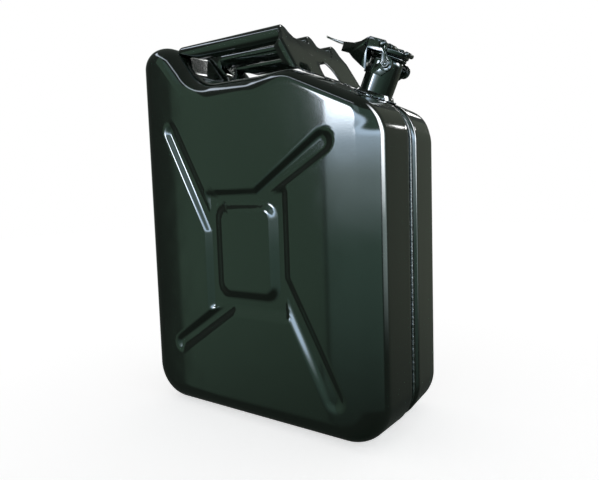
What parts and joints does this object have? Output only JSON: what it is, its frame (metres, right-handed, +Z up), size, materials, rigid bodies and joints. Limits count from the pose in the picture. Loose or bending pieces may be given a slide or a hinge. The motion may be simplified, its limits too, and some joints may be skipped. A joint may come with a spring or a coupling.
{
  "type": "fuel can",
  "caption": "Upright steel fuel can pressed in halves with a sunk seam, parallel carrying bars on a front plate, and a leaning neck closed by a lever-held lid.",
  "frame": {"origin": "under the middle of the can's base, on the plane it stands on", "axes": "+X along the length towards the neck, +Y across the width towards the left half shell, +Z up"},
  "size_m": [0.345, 0.165, 0.466],
  "materials": {
    "enamel": "high gloss dark green enamel",
    "rubber": "matt black"
  },
  "bodies": {
    "can": {"shell_right": "enamel", "shell_left": "enamel", "seam_weld": "enamel", "handle_bar_right": "enamel", "handle_bar_middle": "enamel", "handle_bar_left": "enamel", "handle_rear_foot": "enamel", "handle_front_plate": "enamel", "neck_tube": "enamel", "neck_lip": "enamel", "neck_collar": "enamel", "pivot_strap": "enamel", "trunnion_right": "enamel", "trunnion_left": "enamel"},
    "lever": {"lever_hood": "enamel", "lid_pin": "enamel"},
    "lid": {"lid_plate": "enamel", "lid_gasket": "rubber", "lid_hub": "enamel", "lid_stop_roll": "enamel"}
  },
  "joints": [
    {"name": "lever_hinge", "type": "hinge", "parent": "can", "child": "lever", "pos_m": [0.15399, 0, 0.40087], "axis": [0, 1, 0], "range_deg": [0, 118]},
    {"name": "lid_tilt", "type": "hinge", "parent": "lever", "child": "lid", "pos_m": [0.15048, 0, 0.42246], "axis": [0, 1, 0], "range_deg": [-47.5, 0]}
  ],
  "couplings": [
    {"joint": "lid_tilt", "follows": "lever_hinge", "ratio": -0.4}
  ]
}
